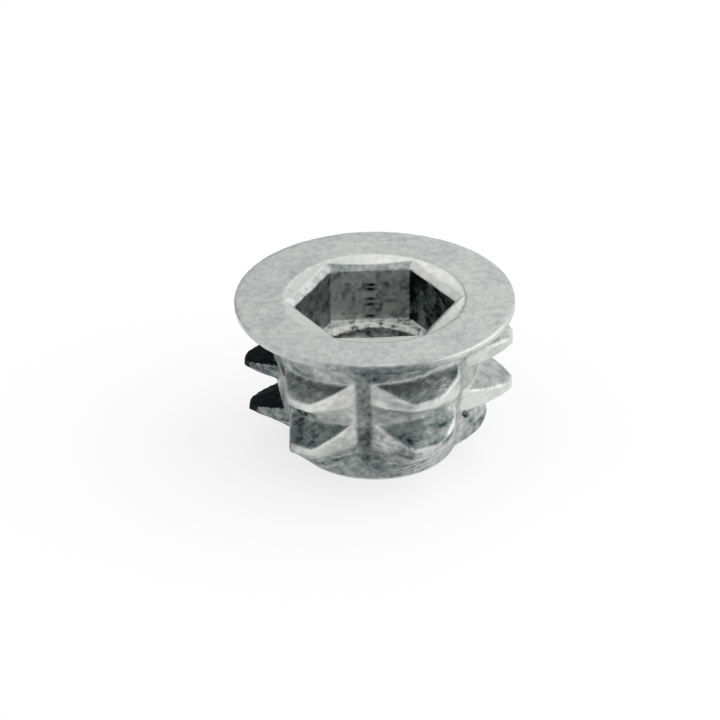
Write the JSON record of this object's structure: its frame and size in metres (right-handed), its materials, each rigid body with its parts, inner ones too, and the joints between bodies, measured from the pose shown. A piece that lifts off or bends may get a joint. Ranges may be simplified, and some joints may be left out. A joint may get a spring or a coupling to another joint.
{
  "type": "threaded insert",
  "caption": "Flanged hex-drive threaded insert for wood: cast zinc sleeve with a machine-threaded bore and a coarse toothed wood thread outside.",
  "frame": {"origin": "centre of the nose's lower face, on the surface that the insert stands on", "axes": "+Z along the bore's axis from the nose to the flange; +X through a corner of the hexagon socket"},
  "size_m": [0.0162, 0.0162, 0.0095],
  "materials": {
    "zinc": "as-cast zinc alloy, dull and slightly mottled"
  },
  "bodies": {
    "root": {"threaded_insert": "zinc"}
  },
  "joints": []
}
